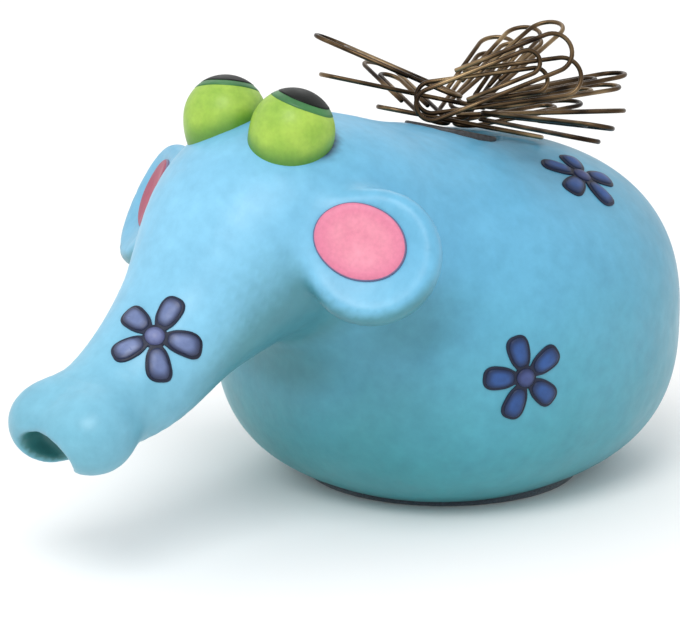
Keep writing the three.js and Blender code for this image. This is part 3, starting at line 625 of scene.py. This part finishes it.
# The mesh's grid: fine and coarse steps along each axis, and where the fine ones end. They take in the
# trunk's end, which has the smallest forms.
X_FINE, X_COARSE, X_FINE_TO = 0.9, 1.25, 19
Y_FINE, Y_COARSE, Y_FINE_TO = 0.75, 1.25, -84
Z_FINE, Z_COARSE, Z_FINE_TO = 0.8, 1.2, 38
GRID_MARGIN, ROOM_BELOW, ROOM_FOR_HEAD = 3, 2, 15

half_xs = grid_planes(X_FINE / 2, BELLY_HALF_WIDTH + GRID_MARGIN, X_FINE, X_COARSE, X_FINE_TO)
xs = np.concatenate([-half_xs[::-1], half_xs])
trunk_end = -BELLY_FRONT - LOBE_AHEAD - 2 * LOBE_RADIUS
ys = grid_planes(trunk_end, BELLY_BACK + GRID_MARGIN, Y_FINE, Y_COARSE, Y_FINE_TO)
zs = grid_planes(-ROOM_BELOW, BELLY_WAIST + BELLY_ABOVE + ROOM_FOR_HEAD, Z_FINE, Z_COARSE, Z_FINE_TO)
points, quads = mesh_field(casting_field, xs, ys, zs)
casting = make_object("painted_casting", points, quads, [painted_casting()])

# Painted shade in the folds: how far off another surface still counts, its strength, and the heights
# below which it starts and is full
FOLD_REACH, FOLD_STRENGTH, FOLD_TOP, FOLD_FULL = 11, 1.5, 50, 36

# Painted shade under the head: its strength, how far the skin faces up where it starts and where it is
# full, and its two ends along Y, each with the place where it is full
HEAD_SHADE, FACES_UP_NONE, FACES_UP_FULL = 0.75, 0.3, -0.3
NECK_AHEAD, NECK_AHEAD_FULL, NECK_BACK, NECK_BACK_FULL = -84, -66, -40, -46

# Painted shade on the belly under the chin: its strength, and where it starts and is full along Y and Z
CHIN_SHADE, CHIN_BACK, CHIN_BACK_FULL, CHIN_TOP, CHIN_TOP_FULL = 0.35, -26, -40, 44, 22

# The dark line behind each eye: its width on the skin, and where along Y from the eye's centre it comes in
EYE_SHADE_REACH, EYE_SHADE_FROM, EYE_SHADE_FULL = 1.4, -2, 2


def share_of_way(values, start, end):
    """0 at the start and short of it, 1 at the end and past it."""
    return np.clip((values - start) / (end - start), 0, 1)


normals = normal_of(casting_field, points)
x, y, z = points.T
folded = 1 - skin(*(points + normals * FOLD_REACH).T) / FOLD_REACH
in_fold = folded * FOLD_STRENGTH * share_of_way(z, FOLD_TOP, FOLD_FULL)
on_neck = share_of_way(y, NECK_AHEAD, NECK_AHEAD_FULL) * share_of_way(y, NECK_BACK, NECK_BACK_FULL)
under_head = share_of_way(normals[:, 2], FACES_UP_NONE, FACES_UP_FULL) * on_neck * HEAD_SHADE
under_chin = share_of_way(y, CHIN_BACK, CHIN_BACK_FULL) * share_of_way(z, CHIN_TOP, CHIN_TOP_FULL)
under_chin *= CHIN_SHADE * (1 - on_neck)
store(casting, "crease_shade", np.maximum(in_fold, np.maximum(under_head, under_chin)))

eye_centre = np.array((EYE_SPREAD, -BELLY_FRONT - EYE_AHEAD, BELLY_WAIST + EYE_UP))
from_eye = np.linalg.norm(np.stack([np.abs(x), y, z], 1) - eye_centre, axis=1)
around_eye = 1 - (from_eye - EYE_RADIUS) / EYE_SHADE_REACH
behind_eye = share_of_way(y - eye_centre[1], EYE_SHADE_FROM, EYE_SHADE_FULL)
store(casting, "eye_shade", around_eye * behind_eye)
dress(casting, "body_casting", "holder")

# Eyes


def eye_arc(radius, start, end, steps):
    """Points of (radius, height) on a sphere, between two angles from its front."""
    angles = np.radians(np.linspace(start, end, steps + 1))
    return [(radius * math.sin(a), radius * math.cos(a)) for a in angles]


def hand_edge(seed, size):
    """A slow wave round an edge that was painted by hand: four sines, each with a random start."""
    phases = np.random.default_rng(seed).uniform(0, 2 * math.pi, 4)
    return lambda angles: size * sum(np.sin(k * angles + p) / k for k, p in zip((2, 3, 5, 7), phases))


# Rings of an eyeball's root and of its front, and the angle of the front's first ring
EYE_RINGS, FRONT_FROM = 24, 88

# How far the painted shade, a darker green, at the foot of an eye reaches from the skin
EYE_FOOT_SHADE_REACH = 6

# How far the coats on an eye are let into it and stand on it, how far their edges wander, as a share of
# their angle, and the rings of their inner and outer faces
COAT_LET_IN, IRIS_LIFT, PUPIL_LIFT, IRIS_WANDER, PUPIL_WANDER = 0.3, 0.06, 0.12, 0.012, 0.02
INNER_RINGS, OUTER_RINGS = 6, 12
IRIS_SEED, PUPIL_SEED = 11, 21


def eye_coat(angle, lift, edge):
    """The profile of a thin coat over the front of an eye, out to an angle that wanders a little."""
    wander = 1 + edge(np.linspace(0, 2 * math.pi, TURN_SIDES, endpoint=False))
    inner, outer = EYE_RADIUS - COAT_LET_IN, EYE_RADIUS + lift
    layers = [(inner, k / INNER_RINGS) for k in range(INNER_RINGS + 1)]
    layers += [(outer, 1 - k / OUTER_RINGS) for k in range(OUTER_RINGS + 1)]
    polar = [(radius, math.radians(angle) * share * wander) for radius, share in layers]
    rings = [(radius * np.sin(a), radius * np.cos(a)) for radius, a in polar]
    return [(0, inner), *rings[1:-1], (0, outer)]


for side, name in ((1, "left"), (-1, "right")):
    turn = basis_to(EYE_GAZE * (side, 1, 1))
    centre = eye_centre * (side, 1, 1)

    ball = Parts()
    root = [(r, h * EYE_ROOT / EYE_RADIUS) for r, h in eye_arc(EYE_RADIUS, 180, 90, EYE_RINGS)]
    turned(ball, root + eye_arc(EYE_RADIUS, FRONT_FROM, 0, EYE_RINGS), turn, centre)
    ball.crowns = [skin(*np.vstack(ball.points).T) / EYE_FOOT_SHADE_REACH]
    dress(ball.build(f"eye_ball_{name}", [lime]), f"eye_{name}", "holder")

    iris = Parts()
    turned(iris, eye_coat(IRIS_ANGLE, IRIS_LIFT, hand_edge(IRIS_SEED + side, IRIS_WANDER)), turn, centre)
    dress(iris.build(f"iris_coat_{name}", [green]), f"iris_{name}", "holder")

    pupil = Parts()
    turned(pupil, eye_coat(PUPIL_ANGLE, PUPIL_LIFT, hand_edge(PUPIL_SEED + side, PUPIL_WANDER)), turn, centre)
    dress(pupil.build(f"pupil_coat_{name}", [black]), f"pupil_{name}", "holder")

# Enamel that lies on the skin

# How far off the skin the lines start that find it
OFF_SKIN, FAR_OFF_SKIN = 6, 80


def turned_flat(points, degrees):
    """Flat points turned about their origin."""
    c, s = math.cos(math.radians(degrees)), math.sin(math.radians(degrees))
    return np.stack([points[:, 0] * c - points[:, 1] * s, points[:, 0] * s + points[:, 1] * c], 1)


def laid_on(parts, centre, turn, rings, outline, shift=(0, 0), spin=0):
    """A domed coat on the skin: an outline, spun, shifted and turned about a point of the skin, in rings of
    (share of the outline's size, height off the skin, material slot) from its edge to its crown."""
    normal = normal_of(skin, centre[None])[0]
    right = np.array((-normal[1], normal[0], 0))
    right /= np.linalg.norm(right)
    up = np.cross(normal, right)
    count = len(outline)
    flat, heights, crowns = [], [], [0]
    for size, _, _ in rings:
        crowns += [1 - size] * count
    for size, height, _ in [(0, rings[0][1], 0), *rings, (0, rings[-1][1], 0)]:
        ring = outline * size if size else np.zeros((1, 2))
        flat.append(turned_flat(ring, spin) + shift)
        heights += [height] * len(ring)
    flat = turned_flat(np.vstack(flat), turn)
    start = centre + flat[:, :1] * right + flat[:, 1:] * up + OFF_SKIN * normal
    feet = meet_skin(start, -normal)
    made = feet + normal_of(skin, feet) * np.array(heights)[:, None]
    first = parts.add(made, [*crowns, 1])
    for i in range(count):
        parts.face((first + 1 + (i + 1) % count, first + 1 + i, first), rings[0][2])
    for ring in range(len(rings) - 1):
        parts.bridge(first + 1 + ring * count, first + 1 + (ring + 1) * count, count, rings[ring + 1][2])
    parts.fan(first + 1 + (len(rings) - 1) * count, first + 1 + len(rings) * count, count, rings[-1][2])


# The bevel along a dome's rim: its height, and its width as a share of the dome's size
RIM_HEIGHT, RIM_SHARE, DOME_STEPS = 0.12, 0.0144, 6


def dome(edge, crown, slot):
    """Rings of a dome of two heights: from the skin up, over a bevelled rim, and up to its crown."""
    rings = [(1, 0, slot), (1, edge - RIM_HEIGHT, slot), (1 - RIM_SHARE, edge, slot)]
    for i in range(1, DOME_STEPS + 1):
        part = i / (DOME_STEPS + 1)
        rings.append((1 - part, edge + (crown - edge) * math.sin(part * math.pi / 2), slot))
    return rings


def oval(length, width, count, seed, unevenness):
    """The outline of an oval with a hand-painted edge."""
    angles = np.linspace(0, 2 * math.pi, count, endpoint=False)
    wave = 1 + hand_edge(seed, unevenness)(angles)
    return np.stack([length / 2 * np.cos(angles) * wave, width / 2 * np.sin(angles) * wave], 1)


# A petal's form: how square its ends are, and how much wider its outer end is than its middle
PETAL_SQUARENESS, PETAL_FLARE = 2.6, 0.16
PETAL_POINTS, PETAL_WANDER, PETAL_SEED, SEEDS_PER_FLOWER = 48, 0.02, 31, 7
BUTTON_POINTS, BUTTON_WANDER, BUTTON_SEED = 40, 0.03, 91


def petal(length, width, seed):
    """The outline of a blunt petal, wider at its outer end, about its own middle."""
    angles = np.linspace(0, 2 * math.pi, PETAL_POINTS, endpoint=False)
    cos, sin = np.cos(angles), np.sin(angles)
    along = np.sign(cos) * np.abs(cos) ** (2 / PETAL_SQUARENESS)
    across = np.sign(sin) * np.abs(sin) ** (2 / PETAL_SQUARENESS) * (1 + PETAL_FLARE * along)
    wave = 1 + hand_edge(seed, PETAL_WANDER)(angles)
    return np.stack([length / 2 * along * wave, width / 2 * across * wave], 1)


FLOWER_POINTS, FLOWER_SAMPLES = 360, 800


def petalled_outline(grow):
    """The outline of the whole flower, petals and button together, grown all round. Along each line from
    the middle, it is the last sample that a petal or the button covers."""
    angles = np.linspace(0, 2 * math.pi, FLOWER_POINTS, endpoint=False)
    radii = np.linspace(0, PETAL_CENTRE + PETAL_LENGTH, FLOWER_SAMPLES)
    covered = np.broadcast_to(radii < BUTTON_RADIUS + grow, (len(angles), len(radii))).copy()
    for number in range(PETALS):
        at = (angles - 2 * math.pi * number / PETALS)[:, None]
        along = (radii * np.cos(at) - PETAL_CENTRE) / (PETAL_LENGTH / 2 + grow)
        across = radii * np.sin(at) / (PETAL_WIDTH / 2 + grow) / np.maximum(1 + PETAL_FLARE * along, 0.1)
        covered |= np.abs(along) ** PETAL_SQUARENESS + np.abs(across) ** PETAL_SQUARENESS < 1
    reach = radii[FLOWER_SAMPLES - 1 - np.argmax(covered[:, ::-1], axis=1)]
    return np.stack([reach * np.cos(angles), reach * np.sin(angles)], 1)


# The dark outline round petals and button: its width, how far it is drawn in from the solid's edge, and
# the rings of the dark coat below them, each with its share of the outline's size and its height
OUTLINE_WIDTH, OUTLINE_IN = 0.55, 0.05
OUTLINE_COAT = [(1, -0.3), (1, 0.16), (0.985, 0.26), (0.9, 0.32), (0.6, 0.36), (0.3, 0.36)]

# Heights of edge and crown of the domes on that coat
PETAL_HEIGHTS, BUTTON_HEIGHTS = (0.5, 0.85), (0.55, 0.95)

flower_outline = petalled_outline(-OUTLINE_IN)
for order, (name, (ahead, above, heading, rise, turn)) in enumerate(FLOWERS.items()):
    heading, rise = math.radians(heading), math.radians(rise)
    out = np.array((math.sin(heading) * math.cos(rise), math.cos(heading) * math.cos(rise), math.sin(rise)))
    centre = meet_skin(np.array((0, -ahead, above)) + out * FAR_OFF_SKIN, -out)[0]
    bloom = Parts()
    laid_on(bloom, centre, turn, [(size, height, 0) for size, height in OUTLINE_COAT], flower_outline)
    for number in range(PETALS):
        spin = 360 * number / PETALS
        shift = PETAL_CENTRE * np.array((math.cos(math.radians(spin)), math.sin(math.radians(spin))))
        seed = PETAL_SEED + SEEDS_PER_FLOWER * order + number
        shape = petal(PETAL_LENGTH - 2 * OUTLINE_WIDTH, PETAL_WIDTH - 2 * OUTLINE_WIDTH, seed)
        laid_on(bloom, centre, turn, dome(*PETAL_HEIGHTS, slot=1), shape, shift, spin)
    button_width = 2 * (BUTTON_RADIUS - OUTLINE_WIDTH)
    button = oval(button_width, button_width, BUTTON_POINTS, BUTTON_SEED + order, BUTTON_WANDER)
    laid_on(bloom, centre, turn, dome(*BUTTON_HEIGHTS, slot=2), button)
    paints = [outline_ink, slate, lilac] if name == "flower_trunk_left" else [outline_ink, navy, lavender]
    dress(bloom.build(name.replace("flower", "bloom"), paints), name, "holder")

# The ear linings: rings of the dull rim and of the pink dome, each with its share of size and its height
LINING_RIM = [(1, -0.3), (1, 0.3), (0.992, 0.42), (0.978, 0.5)]
LINING_DOME = [(0.965, 0.6), (0.92, 0.76), (0.8, 0.9), (0.6, 0.98), (0.3, 1.0)]
LINING_POINTS, LINING_WANDER, LINING_SEED = 96, 0.012, 51

lining_rings = [(size, height, 1) for size, height in LINING_RIM]
lining_rings += [(size, height, 0) for size, height in LINING_DOME]

for side, name in ((1, "left"), (-1, "right")):
    faces = EAR_FACES * (side, 1, 1)
    inward = np.array((side * EAR_FACES[1], -EAR_FACES[0], 0))
    inward /= np.linalg.norm(inward)
    middle = ear_centre * (side, 1, 1) + inward * LINING_INWARD + np.array((0, 0, LINING_UP))
    seat = meet_skin(middle + faces * EAR_RADIUS, -faces)[0]
    cover = Parts()
    shape = oval(LINING_LENGTH, LINING_WIDTH, LINING_POINTS, LINING_SEED + side, LINING_WANDER)
    laid_on(cover, seat, side * LINING_TURN, lining_rings, shape)
    # The right lining takes the darker pink, which is painted shade
    paints = [pink if side > 0 else shaded_pink, lining_edge]
    dress(cover.build(f"ear_cover_{name}", paints), f"ear_lining_{name}", "holder")

# Magnet and felt pad

MAGNET_EDGE, PAD_EDGE, EDGE_POINTS, PAD_SIDES = 0.4, 0.3, 5, 160


def rounded_drum(radius, low, high, edge):
    """The profile of a drum whose two edges are rounded."""
    bend = [(math.cos(a), math.sin(a)) for a in np.linspace(0, math.pi / 2, EDGE_POINTS)]
    corner = [(radius - edge * (1 - c), high - edge * (1 - s)) for c, s in bend]
    foot = [(radius - edge * (1 - c), low + edge * (1 - s)) for c, s in reversed(bend)]
    return [(0, low), *foot, *corner, (0, high)]


disc = Parts()
magnet_profile = rounded_drum(MAGNET_RADIUS, -MAGNET_THICKNESS, 0, MAGNET_EDGE)
turned(disc, magnet_profile, basis_to(magnet_up), magnet_face)
dress(disc.build("magnet_disc", [ferrite()]), "magnet", "holder")

pad = Parts()
pad_profile = rounded_drum(PAD_RADIUS, 0, PAD_THICKNESS, PAD_EDGE)
turned(pad, pad_profile, np.eye(3), np.zeros(3), PAD_SIDES)
dress(pad.build("felt_disc", [pressed_felt()]), "felt_pad", "holder")

# Paper clips

# Steps of each bend, here and in the solids, and the wire's sides and the bevel at its ends
BEND_STEPS, SOLID_BEND_STEPS, WIRE_SIDES, END_BEVEL = 18, 6, 14, 0.16

# How far each run of the clip's wire lies from its middle line, and the radii of its two inner bends
outer_side = (CLIP_WIDTH - CLIP_WIRE) / 2
inner_side = outer_side - CLIP_WIRE - CLIP_LOOP_GAP
near_radius = (outer_side + inner_side) / 2
inner_radius = inner_side - CLIP_INNER_PLAY
inner_across = inner_radius - inner_side


def half_turn(along, across, radius, start, steps):
    """Points of (along, across) on a half turn about a point, from an angle in degrees."""
    angles = np.radians(start + 180 * np.arange(steps + 1) / steps)
    return np.stack([along + radius * np.sin(angles), across - radius * np.cos(angles)], 1)


def clip_line(steps):
    """The line that a clip's wire follows, flat: out, round the far end, back, round the near end, and in."""
    far_bend = half_turn(CLIP_LENGTH - CLIP_WIDTH / 2, 0, outer_side, 0, steps)
    near_bend = half_turn(CLIP_WIRE / 2 + near_radius, outer_side - near_radius, near_radius, 180, steps)
    inner_along = CLIP_LENGTH - CLIP_INNER_SHORTER - inner_radius
    inner_bend = half_turn(inner_along, inner_across, inner_radius, 0, steps)
    first, last = [(CLIP_END_UP, -outer_side)], [(CLIP_END_UP, inner_across + inner_radius)]
    return np.vstack([first, far_bend, near_bend, inner_bend, last])


def clip_wire(name, near, basis):
    """A round wire along the clip's line, with bevelled ends."""
    wire = Parts()
    line = np.pad(clip_line(BEND_STEPS), ((0, 0), (0, 1)))
    tangents = np.gradient(line, axis=0)
    tangents /= np.linalg.norm(tangents, axis=1, keepdims=True)
    angles = np.linspace(0, 2 * math.pi, WIRE_SIDES, endpoint=False)

    def ring(point, tangent, radius):
        sideways = np.cross(tangent, (0, 0, 1))
        around = np.cos(angles)[:, None] * sideways + np.sin(angles)[:, None] * np.array((0, 0, 1))
        return wire.add((point + around * radius) @ basis.T + near)

    half = CLIP_WIRE / 2
    rings = [ring(line[0], tangents[0], half - END_BEVEL)]
    rings.append(ring(line[0] + tangents[0] * END_BEVEL, tangents[0], half))
    rings += [ring(p, t, half) for p, t in zip(line[1:-1], tangents[1:-1])]
    rings.append(ring(line[-1] - tangents[-1] * END_BEVEL, tangents[-1], half))
    rings.append(ring(line[-1], tangents[-1], half - END_BEVEL))
    for low, high in zip(rings, rings[1:]):
        wire.bridge(high, low, WIRE_SIDES)
    wire.face(tuple(rings[0] + k for k in range(WIRE_SIDES)))
    wire.face(tuple(rings[-1] + k for k in reversed(range(WIRE_SIDES))))
    return wire.build(name, [steel])


# The solid clip's corners lie more to one side of it than to the other, as those of its line do
solid_lean = clip_line(SOLID_BEND_STEPS)[:, 1].mean()


def clip_stance(node, along):
    """Where the solid clip's near end is and how it is turned, found from its corners."""
    corners = np.array([v.co for v in frame["nodes"][node].data.vertices]) * 1000
    along = np.array(along) / np.linalg.norm(along)
    flat = corners - np.outer(corners @ along, along)
    centred = flat - flat.mean(0)
    across = np.linalg.svd(centred, full_matrices=False)[2][0]
    reach = corners @ across
    lean = reach.mean() - (reach.max() + reach.min()) / 2
    if lean * solid_lean < 0:
        across, reach = -across, -reach
    square = np.cross(along, across)
    middle = across * (reach.max() + reach.min()) / 2
    height = corners @ square
    near = along * (corners @ along).min() + middle + square * (height.max() + height.min()) / 2
    return near, np.stack([along, across, square], 1)


for joint in frame["joints"]:
    number = joint["child"][-2:]
    node = f"paper_clip_{number}"
    near, basis = clip_stance(node, joint["axis"])
    dress(clip_wire(f"clip_wire_{number}", near, basis), node, joint["child"])

# Floor, light and camera

# How far the floor reaches each way, and how far it lies below the felt, so that no two faces coincide
FLOOR_REACH, FLOOR_BELOW = 3000, 0.02
floor_corners = ((-1, -1), (1, -1), (1, 1), (-1, 1))
floor_points = [(FLOOR_REACH * x, FLOOR_REACH * y, -FLOOR_BELOW) for x, y in floor_corners]
paper = Nodes("pale_paper")
paper_shades = (0.2, linear((244, 244, 243))), (0.8, linear((250, 250, 250)))
paper_color = paper.ramp(paper.noise(6, detail=2), *paper_shades)
pale_paper = paper.finish(paper_color, roughness=0.9)
floor = make_object("floor", floor_points, [(0, 1, 2, 3)], [pale_paper], smooth=False)

WORLD_STRENGTH = 0.95
world = bpy.data.worlds.new("studio")
bpy.context.scene.world = world
world.use_nodes = True
surroundings = world.node_tree.nodes["Background"]
surroundings.inputs["Color"].default_value = WHITE
surroundings.inputs["Strength"].default_value = WORLD_STRENGTH

# Round soft lamps: place, width and power
LAMPS = {
    "key": ((0.3, -0.52, 0.78), 0.5, 3.4),
    "side": ((-0.5, -0.6, 0.6), 0.8, 0.6),
    "back": ((-0.6, 0.5, 0.7), 0.6, 0.8),
}
LAMPS_POINT_AT = (0, -0.03, 0.04)

# The camera's place round its target, and its distance in pixels of a view that is so many pixels wide
CAMERA_AZIMUTH, CAMERA_RISE, CAMERA_AWAY = 45, 15, 0.6
PIXELS_AWAY, PIXELS_WIDE, SENSOR_WIDTH = 3180, 680, 36
TARGET = np.array((0, -0.02815, 0.03641))


def aim(thing, target):
    """Turns a lamp or a camera to a point."""
    thing.rotation_mode = "QUATERNION"
    direction = (np.array(target) - np.array(thing.location)).tolist()
    thing.rotation_quaternion = Vector(direction).to_track_quat("-Z", "Y")


for name, (place, width, watts) in LAMPS.items():
    light = bpy.data.lights.new(name, "AREA")
    light.shape, light.size, light.energy = "DISK", width, watts
    lamp = bpy.data.objects.new(name, light)
    lamp.location = place
    bpy.context.collection.objects.link(lamp)
    aim(lamp, LAMPS_POINT_AT)

azimuth, elevation = math.radians(CAMERA_AZIMUTH), math.radians(CAMERA_RISE)
toward = np.array(
    (math.sin(azimuth) * math.cos(elevation), -math.cos(azimuth) * math.cos(elevation), math.sin(elevation))
)
lens = bpy.data.cameras.new("camera")
lens.sensor_width = SENSOR_WIDTH
lens.lens = PIXELS_AWAY * SENSOR_WIDTH / PIXELS_WIDE
camera = bpy.data.objects.new("camera", lens)
camera.location = TARGET + toward * CAMERA_AWAY
bpy.context.collection.objects.link(camera)
aim(camera, TARGET)
bpy.context.scene.camera = camera
bpy.context.scene.view_settings.view_transform = "Standard"
